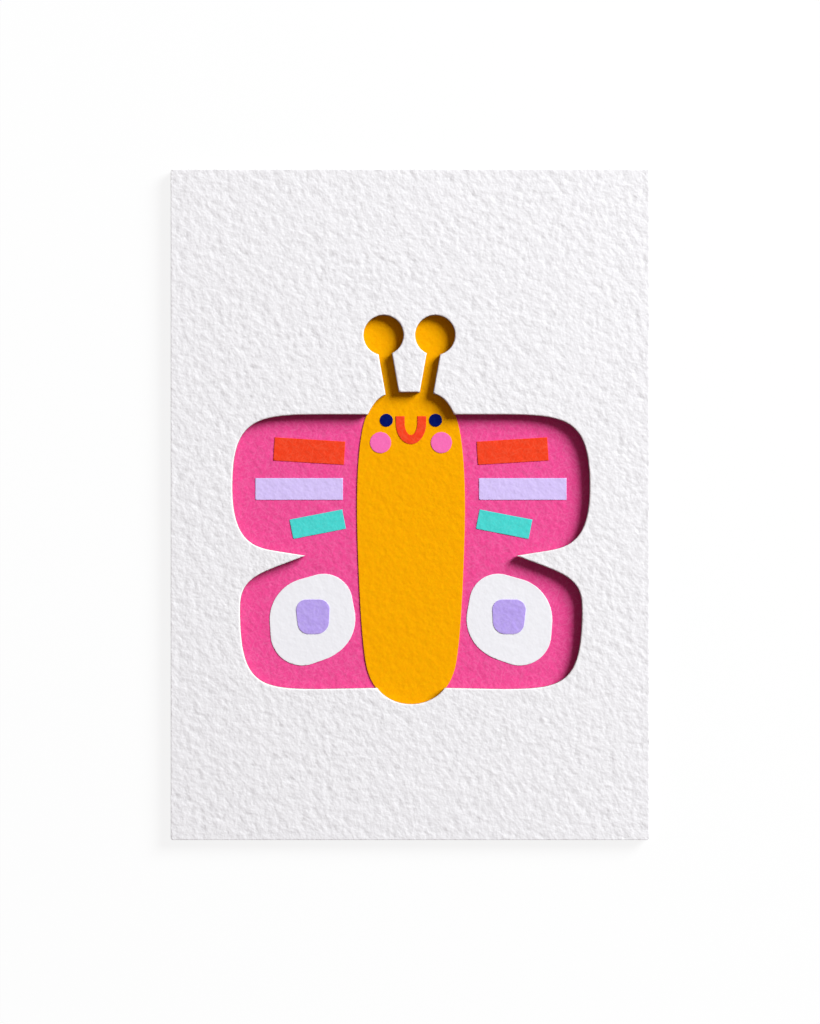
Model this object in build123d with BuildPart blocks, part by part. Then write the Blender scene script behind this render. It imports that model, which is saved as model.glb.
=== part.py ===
from build123d import *
import os
from math import atan2, degrees, hypot

# A flat paper card with a butterfly-shaped window, lying on its back with its front up.
# The origin is under the middle of the card, +X runs across it and +Y towards the antennae.

# Card over its edges
card_width = 127.0
card_height = 178.0
card_corner = 0.6

# Layers from the back up
backing_thickness = 0.4
wing_thickness = 0.3
body_thickness = 0.25
mark_thickness = 0.12
board_thickness = 2.4
board_shoulder = 0.35
board_edge = 0.15
body_headroom = 0.05

# Mounting tape round the edge, and the pink sheet inside it
tape_inset = 1.5
tape_width = 6.0
tape_gap = 0.5
sheet_clearance = 1.0

# Middle of the butterfly on the card
figure_x = 0.25
figure_y = -0.1

# Wings of the window: half widths and heights from the butterfly's middle
wing_top = 24.05
wing_top_flat = 22.5
upper_half_width = 47.47
upper_widest_y = 4.8
notch_x = 28.0
notch_y = -13.45
notch_upper_slope = 0.16
notch_upper_run = 8.2
notch_lower_slope = 0.375
notch_lower_run = 5.0
lower_half_width = 45.42
lower_widest_y = -27.3
wing_bottom = -48.87
wing_bottom_flat = 23.8
wing_bottom_rise = 0.5

# How far each bend of the wings reaches towards its corner, at its start and at its end
upper_shoulder_pull = (0.75, 0.97)
upper_waist_pull = (0.94, 0.52)
lower_shoulder_pull = (0.67, 1.0)
lower_hem_pull = (0.96, 0.78)

# Head and body as they show in the window, from the crown to the foot, and how much larger
# the yellow piece is cut all round
body_overlap = 0.3
body_half_width = 14.08
body_widest_y = -1.0
crown_y = 30.0
crown_pull = 5.3
temple_x = 11.5
temple_y = 23.9
temple_slope = 0.44
temple_pull_up = 7.1
temple_pull_down = 2.5
side_pull_up = 16.4
side_pull_down = 6.6
ankle_x = 11.55
ankle_y = -42.85
ankle_slope = 0.227
ankle_pull_up = 7.9
ankle_pull_down = 9.0
foot_y = -52.9
foot_pull = 3.1

# Antennae, as they show in the window
antenna_x = -0.45
ball_spread = 6.86
ball_y = 45.15
ball_radius = 5.3
stem_width = 3.55
stem_foot = (4.15, 27.5)
stem_top = (6.9, 43.0)

# Bars on the upper wings: distance out, height, length, breadth and tilt of the outer end
bars = {
    "red": (27.05, 14.38, 18.85, 6.2, 3.5),
    "lavender": (29.75, 4.28, 23.3, 5.8, 0.0),
    "turquoise": (24.8, -5.08, 14.3, 5.25, -11.0),
}

# White spots on the lower wings and their lilac centres, each drawn tight round four discs:
# distance out, height and radius
spot_discs = ((23.2, -25.93, 7.65), (26.45, -30.48, 11.15), (28.95, -34.28, 8.4), (25.7, -30.28, 10.9))
centre_discs = ((24.3, -27.76, 2.65), (27.8, -27.86, 2.75), (27.2, -31.36, 2.95), (25.15, -30.96, 3.35))

# Face
eye_spread = 6.55
eye_y = 22.57
eye_radius = 1.74
cheek_spread = 8.1
cheek_y = 16.62
cheek_radius = 2.8
smile_top = 23.65
smile_bend_y = 21.85
smile_bottom = 16.2
smile_half_width = 4.05
smile_gap_half_width = 1.68
smile_gap_bottom = 18.65
smile_pull = 0.55

# Heights of the layers
wing_base = backing_thickness
body_base = wing_base + wing_thickness
tape_thickness = wing_thickness + body_thickness + body_headroom
board_base = backing_thickness + tape_thickness
face_base = body_base + body_thickness
centre_base = body_base + mark_thickness


def figure_plane(height):
    """Plane with its origin in the butterfly's middle, at a height above the back."""
    return Plane((figure_x, figure_y, height))


def bend(start, corner, end, pulls):
    """Smooth bend from start to end whose handles reach towards the corner."""
    start, corner, end = Vector(*start), Vector(*corner), Vector(*end)
    start_handle = start + (corner - start) * pulls[0]
    end_handle = end + (corner - end) * pulls[1]
    return Bezier(start, start_handle, end_handle, end)


def wings_outline():
    """Outline of all four wings, drawn for the right side and mirrored."""
    tip = (notch_x, notch_y)
    waist = (notch_x + notch_upper_run, notch_y + notch_upper_run * notch_upper_slope)
    waist_corner_y = notch_y + (upper_half_width - notch_x) * notch_upper_slope
    hip = (notch_x + notch_lower_run, notch_y - notch_lower_run * notch_lower_slope)
    hip_corner_y = notch_y - (lower_half_width - notch_x) * notch_lower_slope
    upper_widest = (upper_half_width, upper_widest_y)
    lower_widest = (lower_half_width, lower_widest_y)
    top_end = (wing_top_flat, wing_top)
    bottom_end = (wing_bottom_flat, wing_bottom)
    with BuildSketch() as wings:
        with BuildLine():
            Line((0, wing_top), top_end)
            bend(top_end, (upper_half_width, wing_top), upper_widest, upper_shoulder_pull)
            bend(upper_widest, (upper_half_width, waist_corner_y), waist, upper_waist_pull)
            Polyline(waist, tip, hip)
            bend(hip, (lower_half_width, hip_corner_y), lower_widest, lower_shoulder_pull)
            bend(lower_widest, (lower_half_width, wing_bottom), bottom_end, lower_hem_pull)
            Line(bottom_end, (0, wing_bottom + wing_bottom_rise))
            mirror(about=Plane.YZ)
        make_face()
    return wings.sketch


def body_outline(growth):
    """Outline of the head and body, grown all round, drawn for the right side and mirrored."""
    temple_way = Vector(temple_slope, -1).normalized()
    ankle_way = Vector(-ankle_slope, -1).normalized()
    crown = Vector(0, crown_y + growth)
    temple = Vector(temple_x, temple_y) + temple_way.rotate(Axis.Z, 90) * growth
    widest = Vector(body_half_width + growth, body_widest_y)
    ankle = Vector(ankle_x, ankle_y) + ankle_way.rotate(Axis.Z, 90) * growth
    foot = Vector(0, foot_y - growth)
    temple_handles = (temple - temple_way * temple_pull_up, temple + temple_way * temple_pull_down)
    ankle_handles = (ankle - ankle_way * ankle_pull_up, ankle + ankle_way * ankle_pull_down)
    with BuildSketch() as body:
        with BuildLine():
            Bezier(crown, crown + Vector(crown_pull, 0), temple_handles[0], temple)
            Bezier(temple, temple_handles[1], widest + Vector(0, side_pull_up), widest)
            Bezier(widest, widest - Vector(0, side_pull_down), ankle_handles[0], ankle)
            Bezier(ankle, ankle_handles[1], foot + Vector(foot_pull, 0), foot)
            mirror(about=Plane.YZ)
        make_face()
    return body.sketch


def antennae_outline(growth):
    """Two stems with a ball on each, grown all round by a margin."""
    stem_length = hypot(stem_top[0] - stem_foot[0], stem_top[1] - stem_foot[1])
    stem_lean = degrees(atan2(stem_top[0] - stem_foot[0], stem_top[1] - stem_foot[1]))
    stem_middle_x = (stem_foot[0] + stem_top[0]) / 2
    stem_middle_y = (stem_foot[1] + stem_top[1]) / 2
    with BuildSketch() as antennae:
        for side in (-1, 1):
            with Locations((antenna_x + side * ball_spread, ball_y)):
                Circle(ball_radius + growth)
            with Locations((antenna_x + side * stem_middle_x, stem_middle_y)):
                Rectangle(stem_width + 2 * growth, stem_length, rotation=-side * stem_lean)
    return antennae.sketch


def patch_outline(side, discs):
    """Rounded patch drawn tight round four discs, on one side of the butterfly."""
    with BuildSketch() as patch:
        for out, height, radius in discs:
            with Locations((side * out, height)):
                Circle(radius)
        make_hull()
    return patch.sketch


def cup_outline(half_width, bottom):
    """Flat-topped cup shape of the smile: straight sides and a round bottom."""
    side_end = (half_width, smile_bend_y)
    with BuildSketch() as cup:
        with BuildLine():
            Polyline((0, smile_top), (half_width, smile_top), side_end)
            bend(side_end, (half_width, bottom), (0, bottom), (smile_pull, smile_pull))
            mirror(about=Plane.YZ)
        make_face()
    return cup.sketch


def save(piece, name):
    """Label a finished piece and write its file."""
    piece.part.label = name
    export_step(piece.part, f"parts/{name}.step")


os.makedirs("parts", exist_ok=True)

# Outlines that more than one piece follows
with BuildSketch() as body_figure:
    add(body_outline(body_overlap))
    add(antennae_outline(body_overlap))

with BuildSketch() as window_figure:
    add(wings_outline())
    add(body_outline(0))
    add(antennae_outline(0))

# Backing card
with BuildPart() as backing_card:
    with BuildSketch():
        RectangleRounded(card_width, card_height, card_corner)
    extrude(amount=backing_thickness)
save(backing_card, "backing_card")

# Mounting tape: two full strips and two that fit between them
long_tape = card_width - 2 * tape_inset
short_tape = card_height - 2 * (tape_inset + tape_width + tape_gap)
tape_x = card_width / 2 - tape_inset - tape_width / 2
tape_y = card_height / 2 - tape_inset - tape_width / 2
tapes = {
    "tape_top": (0, tape_y, long_tape, tape_width),
    "tape_bottom": (0, -tape_y, long_tape, tape_width),
    "tape_left": (-tape_x, 0, tape_width, short_tape),
    "tape_right": (tape_x, 0, tape_width, short_tape),
}
for name, (x, y, width, height) in tapes.items():
    with BuildPart() as tape:
        with BuildSketch(Plane((x, y, backing_thickness))):
            Rectangle(width, height)
        extrude(amount=tape_thickness)
    save(tape, name)

# Pink wing sheet, trimmed to lie inside the tape
sheet_margin = tape_inset + tape_width + sheet_clearance
with BuildPart() as wing_sheet:
    with BuildSketch(Plane.XY.offset(wing_base)):
        Rectangle(card_width - 2 * sheet_margin, card_height - 2 * sheet_margin)
    extrude(amount=wing_thickness)
save(wing_sheet, "wing_sheet")

# Yellow body with its antennae, a little larger than the window all round
with BuildPart() as body_piece:
    with BuildSketch(figure_plane(body_base)):
        add(body_figure.sketch)
    extrude(amount=body_thickness)
save(body_piece, "body_piece")

# Marks on the wings, one of each on both sides
for side_name, side in (("left", -1), ("right", 1)):
    for colour, (bar_x, bar_y, bar_length, bar_breadth, bar_tilt) in bars.items():
        with BuildPart() as bar:
            with BuildSketch(figure_plane(body_base)):
                with Locations((side * bar_x, bar_y)):
                    Rectangle(bar_length, bar_breadth, rotation=side * bar_tilt)
            extrude(amount=mark_thickness)
        save(bar, f"bar_{colour}_{side_name}")
    with BuildPart() as spot:
        with BuildSketch(figure_plane(body_base)):
            add(patch_outline(side, spot_discs))
        extrude(amount=mark_thickness)
    save(spot, f"spot_{side_name}")
    with BuildPart() as spot_centre:
        with BuildSketch(figure_plane(centre_base)):
            add(patch_outline(side, centre_discs))
        extrude(amount=mark_thickness)
    save(spot_centre, f"spot_centre_{side_name}")

# Eyes and cheeks
for side_name, side in (("left", -1), ("right", 1)):
    discs = {
        "eye": (eye_spread, eye_y, eye_radius),
        "cheek": (cheek_spread, cheek_y, cheek_radius),
    }
    for name, (spread, y, radius) in discs.items():
        with BuildPart() as disc:
            with BuildSketch(figure_plane(face_base)):
                with Locations((side * spread, y)):
                    Circle(radius)
            extrude(amount=mark_thickness)
        save(disc, f"{name}_{side_name}")

# Smile: a U with flat ends, its gap narrower towards the bottom
with BuildPart() as smile:
    with BuildSketch(figure_plane(face_base)):
        add(cup_outline(smile_half_width, smile_bottom))
        add(cup_outline(smile_gap_half_width, smile_gap_bottom), mode=Mode.SUBTRACT)
    extrude(amount=mark_thickness)
save(smile, "smile")

# Front board: thick card with the butterfly cut through it, its upper edges rounded over more
# round the window than along the card's own sides
with BuildPart() as front_board:
    with BuildSketch(Plane.XY.offset(board_base)):
        RectangleRounded(card_width, card_height, card_corner)
    extrude(amount=board_thickness)
    with BuildSketch(figure_plane(board_base)):
        add(window_figure.sketch)
    extrude(amount=board_thickness, mode=Mode.SUBTRACT)
    front = front_board.faces().sort_by(Axis.Z)[-1]
    fillet(front.inner_wires()[0].edges(), radius=board_shoulder)
    front = front_board.faces().sort_by(Axis.Z)[-1]
    fillet(front.outer_wire().edges(), radius=board_edge)
save(front_board, "front_board")
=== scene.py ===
from math import cos, pi, radians, sin, tan

import bmesh
import bpy
import numpy as np
from bpy.props import FloatProperty, FloatVectorProperty, IntProperty, PointerProperty
from bpy.types import Operator, Panel, PropertyGroup
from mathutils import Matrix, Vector, geometry
from mathutils.bvhtree import BVHTree


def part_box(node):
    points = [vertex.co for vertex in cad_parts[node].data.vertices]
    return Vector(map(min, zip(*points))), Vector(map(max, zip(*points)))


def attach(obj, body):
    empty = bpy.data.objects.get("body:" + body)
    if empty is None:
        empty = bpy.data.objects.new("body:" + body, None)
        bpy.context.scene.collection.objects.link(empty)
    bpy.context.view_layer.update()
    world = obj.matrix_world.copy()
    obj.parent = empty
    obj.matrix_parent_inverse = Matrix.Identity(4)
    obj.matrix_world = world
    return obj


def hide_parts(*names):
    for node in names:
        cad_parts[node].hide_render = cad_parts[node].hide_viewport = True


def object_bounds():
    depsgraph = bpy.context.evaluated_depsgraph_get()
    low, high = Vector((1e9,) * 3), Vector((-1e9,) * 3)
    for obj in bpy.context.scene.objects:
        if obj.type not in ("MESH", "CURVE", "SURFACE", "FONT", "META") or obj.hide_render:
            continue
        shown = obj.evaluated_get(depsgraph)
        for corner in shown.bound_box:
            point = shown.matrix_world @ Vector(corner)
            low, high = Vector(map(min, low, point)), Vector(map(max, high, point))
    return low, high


# A card of textured white board with a butterfly-shaped window, lying on its back. Coloured papers
# lie in the window. Lengths are in metres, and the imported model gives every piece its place.

bl_info = {
    "name": "Butterfly Window Card",
    "version": (1, 0, 0),
    "blender": (4, 5, 0),
    "location": "3D View > Sidebar > Butterfly Card",
    "description": "Cut paper pieces, paper finishes, light and camera for a butterfly window card",
    "category": "Object",
}

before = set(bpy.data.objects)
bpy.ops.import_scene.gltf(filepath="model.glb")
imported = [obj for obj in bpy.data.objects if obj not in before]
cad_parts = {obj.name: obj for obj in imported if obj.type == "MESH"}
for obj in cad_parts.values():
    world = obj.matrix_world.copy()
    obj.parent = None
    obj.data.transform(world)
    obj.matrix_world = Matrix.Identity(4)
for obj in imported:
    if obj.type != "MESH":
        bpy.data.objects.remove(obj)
cad_low, cad_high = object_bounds()

MM = 0.001

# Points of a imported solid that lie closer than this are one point
WELD_DISTANCE = 1e-7

# Triangles between three points of an outline that are flatter than this lie along a straight side
SLIVER_HEIGHT = 1e-7

# Smallest gap at which the triangulation tells two points apart
POINT_GAP = 1e-8

# Turn at which an outline has a corner, and angle at which two faces meet in a sharp edge
OUTLINE_CORNER = radians(20)
SHARP_EDGE = radians(50)

# Steps that round a sheet's edge, as degrees from its cut side
EDGE_STEPS = (22.5, 45, 67.5, 90)

# Gap between the rounded edge and the grid behind it, in grid steps
GRID_GAP = 0.55

# Share of the tooth's depth that is left along a sheet's edge
EDGE_PRESS = 0.3

# Turn from the card's sides of the way that the grain of all its papers runs
GRAIN_TURN = radians(-37)

# Noise values at which the tooth's hollows end and are deepest, and how steeply they deepen
HOLLOW_RANGE = (0.74, 0.2)
HOLLOW_POWER = 1.5

# How closely the painted shade in a hollow keeps to its deepest part
PAINTED_SHADE_POWER = 3.0

# Noise values between which the fine tooth rises, its octaves and how rough they are
FINE_RANGE = (0.2, 0.76)
FINE_OCTAVES = 1.5
FINE_ROUGHNESS = 0.53

# Clouds in a paper's colour, and the darker tone beside the paper's own, which the clouds take and which
# is painted into the hollows as shade
CLOUD_SIZE = 6 * MM
CLOUD_SHARE = 0.025
SHADE_SHARE = 0.7

# Threads of fibre: the degrees they run at, their length beside their width, the noise cells in a
# metre, and the noise values between which a thread begins to show and is palest
THREAD_TURNS = (17, 71, 133)
THREAD_STRETCH = 5.5
THREAD_SCALE = 2600.0
THREAD_RANGE = (0.5, 0.72)

# How far a normal points up where a cut side begins and where it is complete. Then the layers of
# pulp on it: their thickness, that thickness beside their length, and how pale they are
CUT_RANGE = (0.6, 0.2)
LAYER_SIZE = 0.16 * MM
LAYER_STRETCH = 0.06
LAYER_SHARE = 0.35

# Roughness of a paper in its fine hollows and above them, and its faint gloss
PAPER_ROUGHNESS = (0.82, 0.95)
PAPER_GLOSS = 0.04

# Tone of a thin paper's cut edge beside its face
THIN_CORE_SHARE = 0.9

# How much painted shade the hollows of a thin paper take, and how much of the thread tone its threads take
THIN_PAINTED_SHADE_SHARE = 0.15
THIN_THREAD_SHARE = 0.17

# The backing card's pattern of hollows, and its coarser grid beside the other sheets'
BACKING_SEED = 11
BACKING_SPACING = 1.4

# How deep the tooth of each coloured paper is beside the set depth, and by the same share how much painted
# shade its hollows and how much tone its threads take
TOOTH_SHARES = {"pink": 1.25, "yellow": 0.85, "red": 0.85, "lavender": 0.8, "turquoise": 0.8,
                "white": 0.45, "lilac": 1.0, "navy": 0.5, "blush": 0.5}


def display_colour(red, green, blue):
    """Linear colour of a tone that a screen shows as these three numbers out of 255."""
    shares = np.array([red, green, blue]) / 255
    linear = np.where(shares <= 0.04045, shares / 12.92, ((shares + 0.055) / 1.055) ** 2.4)
    return tuple(float(share) for share in linear)


def length_property(name, description, default):
    return FloatProperty(name=name, description=description, default=default, min=0.0, precision=5,
                         subtype="DISTANCE", unit="LENGTH")


def colour_property(name, description, tone):
    return FloatVectorProperty(name=name, description=description, default=display_colour(*tone),
                               size=3, min=0.0, max=1.0, subtype="COLOR")


def angle_property(name, description, degrees):
    return FloatProperty(name=name, description=description, default=radians(degrees),
                         subtype="ANGLE", unit="ROTATION")


class CardBoardSettings(PropertyGroup):
    """Sizes of the thick textured front board."""

    spacing: length_property("Mesh Spacing", "Distance between points on the board's face", 0.5 * MM)
    edge: length_property("Edge", "Radius of the card's own upper edges", 0.15 * MM)
    shoulder: length_property("Shoulder", "Radius of the window's upper edges", 0.35 * MM)
    tooth_size: length_property("Tooth Size", "Size of the largest hollows in the face", 1.5 * MM)
    tooth_depth: length_property("Tooth Depth", "Depth of the deepest hollows in the face", 0.185 * MM)
    fine_size: length_property("Fine Tooth Size", "Size of the small hollows in the finish", 0.8 * MM)
    fine_depth: length_property("Fine Tooth Depth", "Depth of the small hollows", 0.068 * MM)
    # Painted shade: how much darker the board's deepest hollows are drawn
    painted_shade_share: FloatProperty(name="Painted Pit Shade", description="How much shade the deepest hollows take",
                             default=0.4, min=0.0, max=1.0, subtype="FACTOR")
    thread_share: FloatProperty(name="Thread Share", description="How clearly threads of fibre show",
                                default=0.2, min=0.0, max=1.0, subtype="FACTOR")
    seed: IntProperty(name="Seed", description="Which pattern of hollows the face gets", default=4)


class CardPaperSettings(PropertyGroup):
    """Sizes of the thin papers."""

    spacing: length_property("Mesh Spacing", "Distance between points on a large sheet", 0.6 * MM)
    mark_spacing: length_property("Mark Spacing", "Distance between points on a small mark", 0.4 * MM)
    edge: length_property("Edge", "Radius of the cut edges", 0.07 * MM)
    tooth_size: length_property("Tooth Size", "Size of the largest hollows in the face", 1.8 * MM)
    tooth_depth: length_property("Tooth Depth", "Depth of the deepest hollows", 0.06 * MM)
    fine_size: length_property("Fine Tooth Size", "Size of the small hollows in the finish", 1.3 * MM)
    fine_depth: length_property("Fine Tooth Depth", "Depth of the small hollows", 0.08 * MM)


class CardColourSettings(PropertyGroup):
    """Colours of the papers under plain white light."""

    board: colour_property("Board", "Textured front board", (240, 238, 241))
    core: colour_property("Core", "Pulp that shows at the board's cut edges", (138, 127, 117))
    backing: colour_property("Backing", "Backing card", (236, 234, 234))
    tape: colour_property("Tape", "Foam mounting tape", (232, 231, 226))
    pink: colour_property("Pink", "Wing sheet", (240, 75, 147))
    yellow: colour_property("Yellow", "Head, body and antennae", (249, 168, 0))
    red: colour_property("Red", "Upper bars and smile", (243, 66, 32))
    lavender: colour_property("Lavender", "Middle bars", (213, 195, 248))
    turquoise: colour_property("Turquoise", "Lower bars", (72, 213, 207))
    white: colour_property("White", "Spots on the lower wings", (241, 240, 245))
    lilac: colour_property("Lilac", "Centres of the spots", (184, 161, 238))
    navy: colour_property("Navy", "Eyes", (1, 14, 95))
    blush: colour_property("Blush", "Cheeks", (249, 109, 182))


class CardStageSettings(PropertyGroup):
    """Floor, light and camera."""

    camera_height: length_property("Camera Height", "Camera above the card's face", 1.2)
    view_height: length_property("View Height", "What the picture takes in along Y", 0.27187)
    view_shift: FloatProperty(name="View Shift", description="Middle of the picture along Y",
                              default=-1.94 * MM, precision=5, subtype="DISTANCE", unit="LENGTH")
    light_turn: angle_property("Light Turn", "Turn of the light from +X towards +Y", 37.0)
    light_rise: angle_property("Light Rise", "Height of the light above the floor", 31.0)
    light_angle: angle_property("Light Angle", "How wide the light looks from the card", 31.0)
    light_distance: length_property("Light Distance", "Light from the card", 3.0)
    light_share: FloatProperty(name="Light Share", description="Part of the light from the lamp",
                               default=0.83, min=0.0, max=1.0, subtype="FACTOR")
    room_share: FloatProperty(name="Room Share", description="Part of the light from the room",
                              default=0.17, min=0.0, max=1.0, subtype="FACTOR")
    room_tint: FloatVectorProperty(name="Room Tint", description="Warmth of the light from the room",
                                   default=(1.0, 0.74, 0.78), size=3, min=0.0, max=1.0, subtype="COLOR")
    floor_size: length_property("Floor Size", "Side of the square floor", 6.0)
    floor: colour_property("Floor", "Pale floor", (250, 250, 250))
    floor_glow: FloatProperty(name="Floor White", description="Share of plain white the camera sees",
                              default=0.88, min=0.0, max=1.0, subtype="FACTOR")


def add_node(tree, kind, inputs=None, **settings):
    """Add a node, set its options, and set or link its inputs by name or number."""
    node = tree.nodes.new(kind)
    for name, value in settings.items():
        setattr(node, name, value)
    for name, value in (inputs or {}).items():
        if isinstance(value, bpy.types.NodeSocket):
            tree.links.new(value, node.inputs[name])
        else:
            node.inputs[name].default_value = value
    return node


def add_math(tree, operation, *values, clamp=False):
    """Add a math node and return its result."""
    node = add_node(tree, "ShaderNodeMath", dict(enumerate(values)), operation=operation, use_clamp=clamp)
    return node.outputs[0]


def map_range(tree, value, start, end, to_start=0.0, to_end=1.0, smooth=True):
    """Map a value from one range to another and return the result."""
    inputs = {"Value": value, "From Min": start, "From Max": end, "To Min": to_start, "To Max": to_end}
    kind = "SMOOTHSTEP" if smooth else "LINEAR"
    return add_node(tree, "ShaderNodeMapRange", inputs, interpolation_type=kind).outputs["Result"]


def new_group(name, kind, sockets_in, sockets_out):
    """Node group with named sockets; returns the tree, its inputs' outputs and its end node."""
    tree = bpy.data.node_groups.new(name, kind)
    for socket_name, socket_type in sockets_in:
        tree.interface.new_socket(name=socket_name, in_out="INPUT", socket_type=socket_type)
    for socket_name, socket_type in sockets_out:
        tree.interface.new_socket(name=socket_name, in_out="OUTPUT", socket_type=socket_type)
    start = tree.nodes.new("NodeGroupInput")
    end = tree.nodes.new("NodeGroupOutput")
    return tree, start.outputs, end


def grain_noise(tree, place, seed, size, octaves, roughness):
    """Add a noise whose own grid is turned along the grain of the paper."""
    turned = add_node(tree, "ShaderNodeVectorRotate", {"Vector": place, "Angle": GRAIN_TURN},
                      rotation_type="Z_AXIS")
    noise = add_node(tree, "ShaderNodeTexNoise", {
        "Vector": turned.outputs[0], "W": seed, "Scale": add_math(tree, "DIVIDE", 1.0, size),
        "Detail": octaves, "Roughness": roughness}, noise_dimensions="4D")
    return noise.outputs[0]


def tooth_hollow(tree, place, seed, size):
    """Add the noise that the tooth follows: 0 on the highest places, 1 in the deepest hollows."""
    noise = grain_noise(tree, place, seed, size, octaves=1.0, roughness=0.5)
    return map_range(tree, noise, *HOLLOW_RANGE, smooth=False)


def paper_face_tree():
    """Geometry nodes that lower a sheet's dense face to its rounded edges and pressed tooth."""
    if "Paper Face" in bpy.data.node_groups:
        return bpy.data.node_groups["Paper Face"]
    tree, given, end = new_group(
        "Paper Face", "GeometryNodeTree",
        [("Geometry", "NodeSocketGeometry"), ("Tooth Size", "NodeSocketFloat"),
         ("Tooth Depth", "NodeSocketFloat"), ("Seed", "NodeSocketInt"), ("Paper", "NodeSocketMaterial")],
        [("Geometry", "NodeSocketGeometry")])
    drop = add_node(tree, "GeometryNodeInputNamedAttribute", {"Name": "edge_drop"}, data_type="FLOAT")
    press = add_node(tree, "GeometryNodeInputNamedAttribute", {"Name": "press"}, data_type="FLOAT")
    place = add_node(tree, "GeometryNodeInputPosition")
    hollow = tooth_hollow(tree, place.outputs[0], given["Seed"], given["Tooth Size"])
    pit = add_math(tree, "MULTIPLY", add_math(tree, "POWER", hollow, HOLLOW_POWER), given["Tooth Depth"])
    depth = add_math(tree, "ADD", drop.outputs[0], add_math(tree, "MULTIPLY", pit, press.outputs[0]))
    offset = add_node(tree, "ShaderNodeCombineXYZ", {"Z": add_math(tree, "MULTIPLY", depth, -1.0)})
    moved = add_node(tree, "GeometryNodeSetPosition",
                     {"Geometry": given["Geometry"], "Offset": offset.outputs[0]})
    real = add_node(tree, "GeometryNodeRealizeInstances", {"Geometry": moved.outputs[0]})
    dressed = add_node(tree, "GeometryNodeSetMaterial",
                       {"Geometry": real.outputs[0], "Material": given["Paper"]})
    tree.links.new(dressed.outputs[0], end.inputs["Geometry"])
    return tree


def outlines(node):
    """Outlines of a flat piece's lower face as arrays of points, with the paper on their left."""
    sheet = bmesh.new()
    sheet.from_mesh(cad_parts[node].data)
    bmesh.ops.remove_doubles(sheet, verts=sheet.verts, dist=WELD_DISTANCE)
    sheet.normal_update()
    before = {}
    for face in sheet.faces:
        if face.normal.z > -0.9:
            continue
        for corner in face.loops:
            if sum(other.normal.z < -0.9 for other in corner.edge.link_faces) == 1:
                before[corner.vert.index] = corner.link_loop_next.vert.index
    after = {end: start for start, end in before.items()}
    places = [vert.co.xy[:] for vert in sheet.verts]
    sheet.free()
    found = []
    while after:
        start, point = after.popitem()
        loop = [start]
        while point != start:
            loop.append(point)
            point = after.pop(point)
        found.append(np.array([places[index] for index in loop]))
    return found


def turn_angles(loop):
    """Angle that the outline turns through at each of its points."""
    ahead = np.roll(loop, -1, axis=0) - loop
    headings = np.arctan2(ahead[:, 1], ahead[:, 0])
    return np.angle(np.exp(1j * (headings - np.roll(headings, 1))))


def smooth_outline(loop, spacing):
    """Outline with even points along it, round between gentle corners and straight elsewhere."""
    ahead = np.roll(loop, -1, axis=0) - loop
    lengths = np.hypot(*ahead.T)
    ways = ahead / lengths[:, None]
    behind_lengths, behind_ways = np.roll(lengths, 1), np.roll(ways, 1, axis=0)
    tangents = ways * behind_lengths[:, None] + behind_ways * lengths[:, None]
    tangents[lengths > 3 * behind_lengths] = ways[lengths > 3 * behind_lengths]
    tangents[behind_lengths > 3 * lengths] = behind_ways[behind_lengths > 3 * lengths]
    tangents /= np.hypot(*tangents.T)[:, None]
    corners = np.abs(turn_angles(loop)) > OUTLINE_CORNER
    points = []
    for index, start in enumerate(loop):
        after = (index + 1) % len(loop)
        length = lengths[index]
        leave = (ways[index] if corners[index] else tangents[index]) * length
        arrive = (ways[index] if corners[after] else tangents[after]) * length
        count = max(1, round(length / spacing))
        for t in np.arange(count) / count:
            points.append(start * (2 * t**3 - 3 * t**2 + 1) + leave * (t**3 - 2 * t**2 + t)
                          + loop[after] * (3 * t**2 - 2 * t**3) + arrive * (t**3 - t**2))
    return np.array(points)


def wall_tree(loops):
    """Search tree of upright walls along the outlines."""
    points, walls = [], []
    for loop in loops:
        first, count = len(points), len(loop)
        points += [(x, y, z) for x, y in loop for z in (-MM, MM)]
        for index in range(count):
            here, there = first + 2 * index, first + 2 * ((index + 1) % count)
            walls.append((here, there, there + 1, here + 1))
    return BVHTree.FromPolygons(points, walls)


def edge_distance(walls, points, reach):
    """Distance of each point from the nearest outline, and the number of the wall it is nearest to."""
    found = [walls.find_nearest((x, y, 0.0), reach) for x, y in points]
    distances = np.array([reach if distance is None else distance for _, _, _, distance in found])
    numbers = np.array([0 if number is None else number for _, _, number, _ in found])
    return distances, numbers


def edge_rings(loop, walls, radius):
    """Points that follow an outline at each of the steps that round its edge."""
    ways = np.roll(loop, -1, axis=0) - np.roll(loop, 1, axis=0)
    ways /= np.hypot(*ways.T)[:, None]
    inwards = np.stack([-ways[:, 1], ways[:, 0]], axis=1)
    rings = []
    for angle in EDGE_STEPS:
        step = radius * (1 - cos(radians(angle)))
        ring = loop + inwards * step
        rings.append(ring[edge_distance(walls, ring, 2 * step)[0] > 0.97 * step])
    return np.concatenate(rings)


def is_hole(loop):
    """Whether an outline runs round a hole, which it does clockwise."""
    ahead = np.roll(loop, -1, axis=0)
    return (loop[:, 0] * ahead[:, 1] - loop[:, 1] * ahead[:, 0]).sum() < 0


def row_crossings(loops, y):
    """Places along X where a row at height y crosses the outlines."""
    crossings = []
    for loop in loops:
        ahead = np.roll(loop, -1, axis=0)
        crossed = (loop[:, 1] > y) != (ahead[:, 1] > y)
        start, way = loop[crossed], ahead[crossed] - loop[crossed]
        crossings.append(start[:, 0] + (y - start[:, 1]) / way[:, 1] * way[:, 0])
    return np.sort(np.concatenate(crossings))


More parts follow.
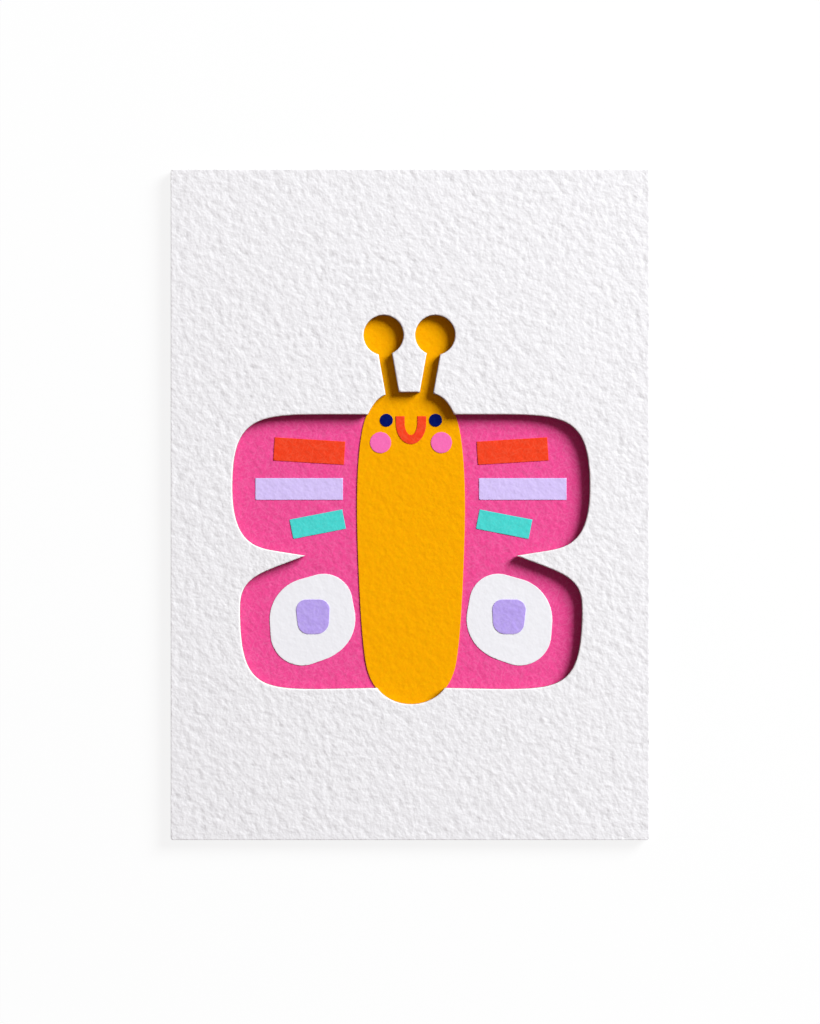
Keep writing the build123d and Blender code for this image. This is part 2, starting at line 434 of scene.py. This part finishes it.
def grid_points(loops, walls, spacing, margin):
    """Even points inside the outlines, in rows offset by half a step, clear of the edges."""
    low = min(loop[:, 1].min() for loop in loops)
    high = max(loop[:, 1].max() for loop in loops)
    step = spacing * sin(pi / 3)
    points = []
    for row in range(1, int((high - low) / step) + 1):
        y = low + row * step
        crossings = row_crossings(loops, y)
        for left, right in zip(crossings[::2], crossings[1::2]):
            first = np.ceil(left / spacing) * spacing + (row % 2) * spacing / 2
            points += [(x, y) for x in np.arange(first, right, spacing)]
    points = np.array(points)
    return points[edge_distance(walls, points, 2 * margin)[0] > margin]


def inside(loops, point):
    """Whether a point lies in the paper."""
    return (row_crossings(loops, point[1]) < point[0]).sum() % 2 == 1


def triangles(loops, extra):
    """Points and triangles that fill the outlines, through the extra points."""
    points = np.concatenate([*loops, extra])
    edges = []
    for loop in loops:
        first = len(edges)
        edges += [(first + index, first + (index + 1) % len(loop)) for index in range(len(loop))]
    flat = [Vector(point) for point in points]
    places, _, faces, sources, _, _ = geometry.delaunay_2d_cdt(flat, edges, [], 0, POINT_GAP)
    source = np.array([origin[0] for origin in sources])
    faces = source[np.array(faces)]
    ahead, across = points[faces[:, 1]] - points[faces[:, 0]], points[faces[:, 2]] - points[faces[:, 0]]
    areas = ahead[:, 0] * across[:, 1] - ahead[:, 1] * across[:, 0]
    faces[areas < 0] = faces[areas < 0][:, ::-1]
    reach = np.maximum(np.hypot(*ahead.T), np.hypot(*across.T))
    slivers = np.abs(areas) < SLIVER_HEIGHT * reach
    doubtful = (faces < len(edges)).all(axis=1)
    kept = [not doubt or (not sliver and inside(loops, points[face].mean(axis=0)))
            for face, doubt, sliver in zip(faces, doubtful, slivers)]
    return points, edges, faces[kept]


def sheet_mesh(node, spacing, edge, hole_edge=None, face_up=True):
    """Closed mesh of a flat piece with a dense face, and how far each of its points is lowered."""
    low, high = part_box(node)
    loops = [smooth_outline(loop, spacing) for loop in outlines(node)]
    radii = [hole_edge if is_hole(loop) else edge for loop in loops]
    walls = wall_tree(loops)
    rings = [edge_rings(loop, walls, radius) for loop, radius in zip(loops, radii)]
    grid = grid_points(loops, walls, spacing, max(radii) + GRID_GAP * spacing)
    points, edges, front = triangles(loops, np.concatenate([*rings, grid]))
    _, _, back = triangles(loops, np.empty((0, 2)))
    dense_z, plain_z = (high.z, low.z) if face_up else (low.z, high.z)
    under = len(points)
    corners = [(x, y, dense_z) for x, y in points]
    corners += [(x, y, plain_z) for x, y in points[:len(edges)]]
    faces = [tuple(face) for face in front.tolist()]
    faces += [(c + under, b + under, a + under) for a, b, c in back.tolist()]
    faces += [(start + under, end + under, end, start) for start, end in edges]
    if not face_up:
        faces = [face[::-1] for face in faces]
    mesh = bpy.data.meshes.new(node)
    mesh.from_pydata(corners, [], faces)
    wall_radii = np.concatenate([np.full(len(loop), radius) for loop, radius in zip(loops, radii)])
    distances, numbers = edge_distance(walls, points, 4 * max(radii))
    distances[:len(edges)] = 0.0
    radius = wall_radii[numbers]
    shortfall = radius - np.minimum(distances, radius)
    down = 1 if face_up else -1
    drop = np.zeros(len(corners), np.float32)
    drop[:under] = down * (radius - np.sqrt(radius**2 - shortfall**2))
    press = np.zeros(len(corners), np.float32)
    press[:under] = down * (EDGE_PRESS + (1 - EDGE_PRESS) * np.minimum(distances / (2 * radius), 1.0))
    for name, values in (("edge_drop", drop), ("press", press)):
        mesh.attributes.new(name, "FLOAT", "POINT").data.foreach_set("value", values)
    return mesh


def dress_sheet(node, mesh, material, tooth_size, tooth_depth, seed):
    """Run the paper nodes on a sheet's mesh and return the finished piece."""
    tree = paper_face_tree()
    piece = bpy.data.objects.new(f"{node}_paper", mesh)
    bpy.context.scene.collection.objects.link(piece)
    modifier = piece.modifiers.new("Paper Face", "NODES")
    modifier.node_group = tree
    values = {"Tooth Size": tooth_size, "Tooth Depth": tooth_depth, "Seed": seed, "Paper": material}
    for item in tree.interface.items_tree:
        if item.in_out == "INPUT" and item.name in values:
            modifier[item.identifier] = values[item.name]
    finished = piece.evaluated_get(bpy.context.evaluated_depsgraph_get())
    plain = bpy.data.meshes.new_from_object(finished)
    piece.modifiers.remove(modifier)
    piece.data = plain
    bpy.data.meshes.remove(mesh)
    plain.name = piece.name
    for name in ("edge_drop", "press"):
        plain.attributes.remove(plain.attributes[name])
    plain.shade_smooth()
    plain.set_sharp_from_angle(angle=SHARP_EDGE)
    return piece


def paper_tooth_group():
    """Shader group: fine height of the face, and how deep each place lies in the pressed tooth, which sets
    the painted shade in the hollows.
    """
    if "Paper Tooth" in bpy.data.node_groups:
        return bpy.data.node_groups["Paper Tooth"]
    tree, given, end = new_group(
        "Paper Tooth", "ShaderNodeTree",
        [("Vector", "NodeSocketVector"), ("Seed", "NodeSocketFloat"), ("Tooth Size", "NodeSocketFloat"),
         ("Fine Size", "NodeSocketFloat")],
        [("Height", "NodeSocketFloat"), ("Pit", "NodeSocketFloat")])
    grain = grain_noise(tree, given["Vector"], given["Seed"], given["Fine Size"],
                        FINE_OCTAVES, FINE_ROUGHNESS)
    height = map_range(tree, grain, *FINE_RANGE, smooth=False)
    hollow = tooth_hollow(tree, given["Vector"], given["Seed"], given["Tooth Size"])
    tree.links.new(height, end.inputs["Height"])
    # The deepest hollows give the mask for the painted shade
    tree.links.new(add_math(tree, "POWER", hollow, PAINTED_SHADE_POWER), end.inputs["Pit"])
    return tree


def paper_fibre_group():
    """Shader group: a paper's colour with faint clouds, painted shade in the hollows and pale threads of
    fibre.
    """
    if "Paper Fibre" in bpy.data.node_groups:
        return bpy.data.node_groups["Paper Fibre"]
    tree, given, end = new_group(
        "Paper Fibre", "ShaderNodeTree",
        [("Vector", "NodeSocketVector"), ("Colour", "NodeSocketColor"), ("Shade", "NodeSocketColor"),
         ("Cloud Size", "NodeSocketFloat"), ("Cloud Share", "NodeSocketFloat"),
         ("Pit", "NodeSocketFloat"), ("Painted Shade Share", "NodeSocketFloat"), ("Thread", "NodeSocketColor"),
         ("Thread Share", "NodeSocketFloat")],
        [("Colour", "NodeSocketColor")])
    clouds = add_node(tree, "ShaderNodeTexNoise", {
        "Vector": given["Vector"], "Scale": add_math(tree, "DIVIDE", 1.0, given["Cloud Size"]),
        "Detail": 3.0, "Roughness": 0.6})
    cloud = add_math(tree, "MULTIPLY", map_range(tree, clouds.outputs[0], 0.3, 0.7), given["Cloud Share"])
    # Painted shade: the deepest hollows are drawn in the darker tone
    pits = add_math(tree, "MULTIPLY", given["Pit"], given["Painted Shade Share"])
    shaded = add_node(tree, "ShaderNodeMix", {
        0: add_math(tree, "ADD", cloud, pits, clamp=True), 6: given["Colour"], 7: given["Shade"]},
        data_type="RGBA")
    threads = 0.0
    for turn in THREAD_TURNS:
        way = add_node(tree, "ShaderNodeMapping", {
            "Vector": given["Vector"], "Location": (turn * MM, 0.0, 0.0),
            "Rotation": (0.0, 0.0, radians(turn)), "Scale": (THREAD_STRETCH, 1.0, 1.0)},
            vector_type="TEXTURE")
        thread = add_node(tree, "ShaderNodeTexNoise", {
            "Vector": way.outputs[0], "Scale": THREAD_SCALE, "Detail": 1.0, "Distortion": 0.4})
        threads = add_math(tree, "MAXIMUM", threads, map_range(tree, thread.outputs[0], *THREAD_RANGE))
    mixed = add_node(tree, "ShaderNodeMix", {
        0: add_math(tree, "MULTIPLY", threads, given["Thread Share"]), 6: shaded.outputs[2],
        7: given["Thread"]}, data_type="RGBA")
    tree.links.new(mixed.outputs[2], end.inputs["Colour"])
    return tree


def cut_edge_group():
    """Shader group: the pulp that shows where a sheet is cut, with its pressed layers."""
    if "Cut Edge" in bpy.data.node_groups:
        return bpy.data.node_groups["Cut Edge"]
    tree, given, end = new_group(
        "Cut Edge", "ShaderNodeTree",
        [("Vector", "NodeSocketVector"), ("Face Colour", "NodeSocketColor"),
         ("Core Colour", "NodeSocketColor"), ("Layer Size", "NodeSocketFloat")],
        [("Colour", "NodeSocketColor"), ("Layers", "NodeSocketFloat")])
    facing = add_node(tree, "ShaderNodeNewGeometry")
    upright = add_node(tree, "ShaderNodeSeparateXYZ", {0: facing.outputs["Normal"]})
    flatness = add_math(tree, "ABSOLUTE", upright.outputs["Z"])
    cut = map_range(tree, flatness, *CUT_RANGE)
    stretched = add_node(tree, "ShaderNodeMapping", {
        "Vector": given["Vector"], "Scale": (LAYER_STRETCH, LAYER_STRETCH, 1.0)})
    strata = add_node(tree, "ShaderNodeTexNoise", {
        "Vector": stretched.outputs[0], "Scale": add_math(tree, "DIVIDE", 1.0, given["Layer Size"]),
        "Detail": 2.0, "Roughness": 0.6})
    layers = add_math(tree, "MULTIPLY", map_range(tree, strata.outputs[0], 0.3, 0.7), cut)
    paleness = add_math(tree, "MULTIPLY", layers, LAYER_SHARE)
    shade = add_node(tree, "ShaderNodeMix", {
        0: paleness, 6: given["Core Colour"], 7: given["Face Colour"]}, data_type="RGBA")
    mixed = add_node(tree, "ShaderNodeMix", {0: cut, 6: given["Face Colour"], 7: shade.outputs[2]},
                     data_type="RGBA")
    tree.links.new(mixed.outputs[2], end.inputs["Colour"])
    tree.links.new(layers, end.inputs["Layers"])
    return tree


def paper_material(name, colour, core, tooth_size, seed, fine_size, fine_depth, painted_shade_share, thread_share):
    """Matt paper: dyed pulp with faint clouds and pale threads, painted shade in the hollows, fine tooth
    and a cut edge.
    """
    material = bpy.data.materials.new(name)
    material.use_nodes = True
    tree = material.node_tree
    tree.nodes.clear()
    place = add_node(tree, "ShaderNodeTexCoord").outputs["Object"]
    tooth = add_node(tree, "ShaderNodeGroup", node_tree=paper_tooth_group())
    fibre = add_node(tree, "ShaderNodeGroup", node_tree=paper_fibre_group())
    edge = add_node(tree, "ShaderNodeGroup", node_tree=cut_edge_group())
    for group in (tooth, fibre, edge):
        tree.links.new(place, group.inputs["Vector"])
    tooth.inputs["Seed"].default_value = seed
    tooth.inputs["Tooth Size"].default_value = tooth_size
    tooth.inputs["Fine Size"].default_value = fine_size
    fibre.inputs["Colour"].default_value = (*colour, 1.0)
    fibre.inputs["Shade"].default_value = (*(Vector(colour) * SHADE_SHARE), 1.0)
    fibre.inputs["Cloud Size"].default_value = CLOUD_SIZE
    fibre.inputs["Cloud Share"].default_value = CLOUD_SHARE
    fibre.inputs["Painted Shade Share"].default_value = painted_shade_share
    fibre.inputs["Thread"].default_value = (*(part ** 0.5 for part in colour), 1.0)
    fibre.inputs["Thread Share"].default_value = thread_share
    tree.links.new(tooth.outputs["Pit"], fibre.inputs["Pit"])
    tree.links.new(fibre.outputs["Colour"], edge.inputs["Face Colour"])
    edge.inputs["Core Colour"].default_value = (*core, 1.0)
    edge.inputs["Layer Size"].default_value = LAYER_SIZE
    height = add_math(tree, "ADD", tooth.outputs["Height"], edge.outputs["Layers"])
    bump = add_node(tree, "ShaderNodeBump", {"Height": height, "Strength": 1.0, "Distance": fine_depth})
    rough = map_range(tree, tooth.outputs["Height"], 0.0, 1.2, *PAPER_ROUGHNESS)
    shader = add_node(tree, "ShaderNodeBsdfPrincipled", {
        "Base Color": edge.outputs["Colour"], "Roughness": rough, "Normal": bump.outputs[0],
        "Specular IOR Level": PAPER_GLOSS})
    end = add_node(tree, "ShaderNodeOutputMaterial")
    tree.links.new(shader.outputs[0], end.inputs["Surface"])
    return material


def foam_material(name, colour):
    """Foam of the mounting tape: open pores in a soft off-white, with painted shade in the pores."""
    material = bpy.data.materials.new(name)
    material.use_nodes = True
    tree = material.node_tree
    tree.nodes.clear()
    place = add_node(tree, "ShaderNodeTexCoord").outputs["Object"]
    pores = add_node(tree, "ShaderNodeTexVoronoi", {"Vector": place, "Scale": 4500.0}, feature="F1")
    pore = map_range(tree, pores.outputs["Distance"], 0.15, 0.55)
    # Painted shade: the pores, which the bump sinks, are drawn darker
    mixed = add_node(tree, "ShaderNodeMix", {
        0: pore, 6: (*(Vector(colour) * 0.7), 1.0), 7: (*colour, 1.0)}, data_type="RGBA")
    bump = add_node(tree, "ShaderNodeBump", {"Height": pore, "Strength": 1.0, "Distance": 0.06 * MM})
    rough = map_range(tree, pore, 0.0, 1.0, 0.9, 0.7)
    shader = add_node(tree, "ShaderNodeBsdfPrincipled", {
        "Base Color": mixed.outputs[2], "Roughness": rough, "Normal": bump.outputs[0],
        "Specular IOR Level": 0.3})
    end = add_node(tree, "ShaderNodeOutputMaterial")
    tree.links.new(shader.outputs[0], end.inputs["Surface"])
    return material


def settle(piece, node):
    """Let the finished piece stand for its node and take its place in the frame."""
    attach(piece, "root")
    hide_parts(node)


def make_paper(context, node, colour, spacing):
    """Thin coloured paper that replaces a node of the frame."""
    paper = context.scene.card_papers
    share = TOOTH_SHARES[colour]
    seed = list(TOOTH_SHARES).index(colour) + 1
    finish = f"{colour}_finish"
    material = bpy.data.materials.get(finish)
    if material is None:
        tone = getattr(context.scene.card_colours, colour)
        material = paper_material(finish, tone, Vector(tone) * THIN_CORE_SHARE, paper.tooth_size, seed,
                                  paper.fine_size, share * paper.fine_depth, share * THIN_PAINTED_SHADE_SHARE,
                                  share * THIN_THREAD_SHARE)
    mesh = sheet_mesh(node, spacing, paper.edge)
    piece = dress_sheet(node, mesh, material, paper.tooth_size, share * paper.tooth_depth, seed)
    settle(piece, node)


class CARD_OT_front_board(Operator):
    """Make the thick white board with its window, rounded shoulders and pressed tooth"""

    bl_idname = "card.front_board"
    bl_label = "Front Board"

    def execute(self, context):
        board = context.scene.card_board
        colours = context.scene.card_colours
        material = paper_material("board_finish", colours.board, colours.core, board.tooth_size,
                                  board.seed, board.fine_size, board.fine_depth, board.painted_shade_share,
                                  board.thread_share)
        mesh = sheet_mesh("front_board", board.spacing, board.edge, board.shoulder)
        piece = dress_sheet("front_board", mesh, material, board.tooth_size, board.tooth_depth, board.seed)
        settle(piece, "front_board")
        return {"FINISHED"}


class CARD_OT_backing_card(Operator):
    """Make the white card that closes the back"""

    bl_idname = "card.backing_card"
    bl_label = "Backing Card"

    def execute(self, context):
        paper = context.scene.card_papers
        tone = context.scene.card_colours.backing
        material = paper_material("backing_finish", tone, Vector(tone) * THIN_CORE_SHARE,
                                  paper.tooth_size, BACKING_SEED, paper.fine_size, paper.fine_depth,
                                  THIN_PAINTED_SHADE_SHARE, THIN_THREAD_SHARE)
        mesh = sheet_mesh("backing_card", BACKING_SPACING * paper.spacing, paper.edge, face_up=False)
        piece = dress_sheet("backing_card", mesh, material, paper.tooth_size, paper.tooth_depth,
                            BACKING_SEED)
        settle(piece, "backing_card")
        return {"FINISHED"}


class CARD_OT_mounting_tape(Operator):
    """Give the foam strips between backing card and board their pores"""

    bl_idname = "card.mounting_tape"
    bl_label = "Mounting Tape"

    def execute(self, context):
        material = foam_material("tape_finish", context.scene.card_colours.tape)
        for name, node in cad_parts.items():
            if name.startswith("tape_"):
                node.data.materials.clear()
                node.data.materials.append(material)
        return {"FINISHED"}


class CARD_OT_wing_sheet(Operator):
    """Make the pink sheet that shows as the four wings"""

    bl_idname = "card.wing_sheet"
    bl_label = "Wing Sheet"

    def execute(self, context):
        make_paper(context, "wing_sheet", "pink", context.scene.card_papers.spacing)
        return {"FINISHED"}


class CARD_OT_body_piece(Operator):
    """Make the yellow head and body with its antennae"""

    bl_idname = "card.body_piece"
    bl_label = "Body Piece"

    def execute(self, context):
        make_paper(context, "body_piece", "yellow", context.scene.card_papers.mark_spacing)
        return {"FINISHED"}


class CARD_OT_wing_marks(Operator):
    """Make the bars on the upper wings and the spots on the lower wings"""

    bl_idname = "card.wing_marks"
    bl_label = "Wing Marks"

    def execute(self, context):
        marks = {"bar_red": "red", "bar_lavender": "lavender", "bar_turquoise": "turquoise",
                 "spot": "white", "spot_centre": "lilac"}
        for name, colour in marks.items():
            for side in ("left", "right"):
                make_paper(context, f"{name}_{side}", colour, context.scene.card_papers.mark_spacing)
        return {"FINISHED"}


class CARD_OT_face_marks(Operator):
    """Make the eyes, the cheeks and the smile"""

    bl_idname = "card.face_marks"
    bl_label = "Face Marks"

    def execute(self, context):
        marks = {"eye_left": "navy", "eye_right": "navy", "cheek_left": "blush", "cheek_right": "blush",
                 "smile": "red"}
        for name, colour in marks.items():
            make_paper(context, name, colour, context.scene.card_papers.mark_spacing)
        return {"FINISHED"}


def floor_material(stage):
    """Pale floor that looks white to the camera and keeps a faint shadow."""
    material = bpy.data.materials.new("studio_floor")
    material.use_nodes = True
    tree = material.node_tree
    tree.nodes.clear()
    place = add_node(tree, "ShaderNodeTexCoord").outputs["Object"]
    grain = add_node(tree, "ShaderNodeTexNoise", {"Vector": place, "Scale": 40.0, "Detail": 3.0})
    rough = map_range(tree, grain.outputs[0], 0.3, 0.7, 0.7, 0.85)
    matt = add_node(tree, "ShaderNodeBsdfPrincipled", {
        "Base Color": (*stage.floor, 1.0), "Roughness": rough, "Specular IOR Level": 0.2})
    white = add_node(tree, "ShaderNodeEmission", {"Color": (1.0, 1.0, 1.0, 1.0), "Strength": 1.0})
    rays = add_node(tree, "ShaderNodeLightPath").outputs
    seen = add_math(tree, "MAXIMUM", rays["Is Camera Ray"],
                    add_math(tree, "MAXIMUM", rays["Is Glossy Ray"], rays["Is Transmission Ray"]))
    share = add_math(tree, "MULTIPLY", seen, stage.floor_glow)
    mixed = add_node(tree, "ShaderNodeMixShader", {0: share, 1: matt.outputs[0], 2: white.outputs[0]})
    end = add_node(tree, "ShaderNodeOutputMaterial")
    tree.links.new(mixed.outputs[0], end.inputs["Surface"])
    return material


class CARD_OT_stage(Operator):
    """Lay the floor and set the light, the room and the camera"""

    bl_idname = "card.stage"
    bl_label = "Stage"

    def execute(self, context):
        stage = context.scene.card_stage
        self.lay_floor(context, stage)
        self.hang_light(context, stage)
        self.light_room(context, stage)
        self.place_camera(context, stage)
        context.scene.view_settings.view_transform = "Standard"
        return {"FINISHED"}

    def lay_floor(self, context, stage):
        half = stage.floor_size / 2
        mesh = bpy.data.meshes.new("floor")
        corners = [(-half, -half, cad_low.z), (half, -half, cad_low.z),
                   (half, half, cad_low.z), (-half, half, cad_low.z)]
        mesh.from_pydata(corners, [], [(0, 1, 2, 3)])
        mesh.materials.append(floor_material(stage))
        floor = bpy.data.objects.new("floor", mesh)
        context.scene.collection.objects.link(floor)

    def hang_light(self, context, stage):
        lamp = bpy.data.lights.new("key_light", "AREA")
        lamp.shape = "DISK"
        lamp.size = 2 * stage.light_distance * tan(stage.light_angle / 2)
        spread = stage.light_distance / cos(stage.light_angle / 2)
        lamp.energy = stage.light_share * (pi * spread) ** 2 / sin(stage.light_rise)
        lamp.color = [(1 - stage.room_share * part) / stage.light_share for part in stage.room_tint]
        light = bpy.data.objects.new("key_light", lamp)
        context.scene.collection.objects.link(light)
        level = cos(stage.light_rise)
        way = Vector((level * cos(stage.light_turn), level * sin(stage.light_turn), sin(stage.light_rise)))
        light.location = way * stage.light_distance
        light.rotation_euler = way.to_track_quat("Z", "Y").to_euler()

    def light_room(self, context, stage):
        room = bpy.data.worlds.new("studio_room")
        room.use_nodes = True
        tree = room.node_tree
        tree.nodes.clear()
        rays = add_node(tree, "ShaderNodeLightPath").outputs
        soft = add_node(tree, "ShaderNodeBackground", {
            "Color": (*stage.room_tint, 1.0), "Strength": stage.room_share})
        white = add_node(tree, "ShaderNodeBackground", {"Color": (1.0, 1.0, 1.0, 1.0), "Strength": 1.0})
        mixed = add_node(tree, "ShaderNodeMixShader", {
            0: rays["Is Camera Ray"], 1: soft.outputs[0], 2: white.outputs[0]})
        end = add_node(tree, "ShaderNodeOutputWorld")
        tree.links.new(mixed.outputs[0], end.inputs["Surface"])
        context.scene.world = room

    def place_camera(self, context, stage):
        lens = bpy.data.cameras.new("camera")
        lens.sensor_width = 36.0
        lens.lens = lens.sensor_width * stage.camera_height / stage.view_height
        lens.clip_start = 0.01
        camera = bpy.data.objects.new("camera", lens)
        context.scene.collection.objects.link(camera)
        camera.location = (0.0, stage.view_shift, cad_high.z + stage.camera_height)
        context.scene.camera = camera


OPERATORS = (CARD_OT_front_board, CARD_OT_backing_card, CARD_OT_mounting_tape, CARD_OT_wing_sheet,
             CARD_OT_body_piece, CARD_OT_wing_marks, CARD_OT_face_marks, CARD_OT_stage)
SETTINGS = {"card_board": CardBoardSettings, "card_papers": CardPaperSettings,
            "card_colours": CardColourSettings, "card_stage": CardStageSettings}


class CARD_PT_pieces(Panel):
    """Lists the card's settings and pieces"""

    bl_label = "Butterfly Window Card"
    bl_space_type = "VIEW_3D"
    bl_region_type = "UI"
    bl_category = "Butterfly Card"

    def draw(self, context):
        for setting, group in SETTINGS.items():
            box = self.layout.box()
            for name in group.__annotations__:
                box.prop(getattr(context.scene, setting), name)
        for operator in OPERATORS:
            self.layout.operator(operator.bl_idname)


def register():
    for group in SETTINGS.values():
        bpy.utils.register_class(group)
    for operator in OPERATORS:
        bpy.utils.register_class(operator)
    bpy.utils.register_class(CARD_PT_pieces)
    for setting, group in SETTINGS.items():
        setattr(bpy.types.Scene, setting, PointerProperty(type=group))


def unregister():
    for setting in SETTINGS:
        delattr(bpy.types.Scene, setting)
    bpy.utils.unregister_class(CARD_PT_pieces)
    for operator in reversed(OPERATORS):
        bpy.utils.unregister_class(operator)
    for group in reversed(SETTINGS.values()):
        bpy.utils.unregister_class(group)


def main():
    register()
    bpy.ops.card.front_board()
    bpy.ops.card.backing_card()
    bpy.ops.card.mounting_tape()
    bpy.ops.card.wing_sheet()
    bpy.ops.card.body_piece()
    bpy.ops.card.wing_marks()
    bpy.ops.card.face_marks()
    bpy.ops.card.stage()


if __name__ == "__main__":
    main()
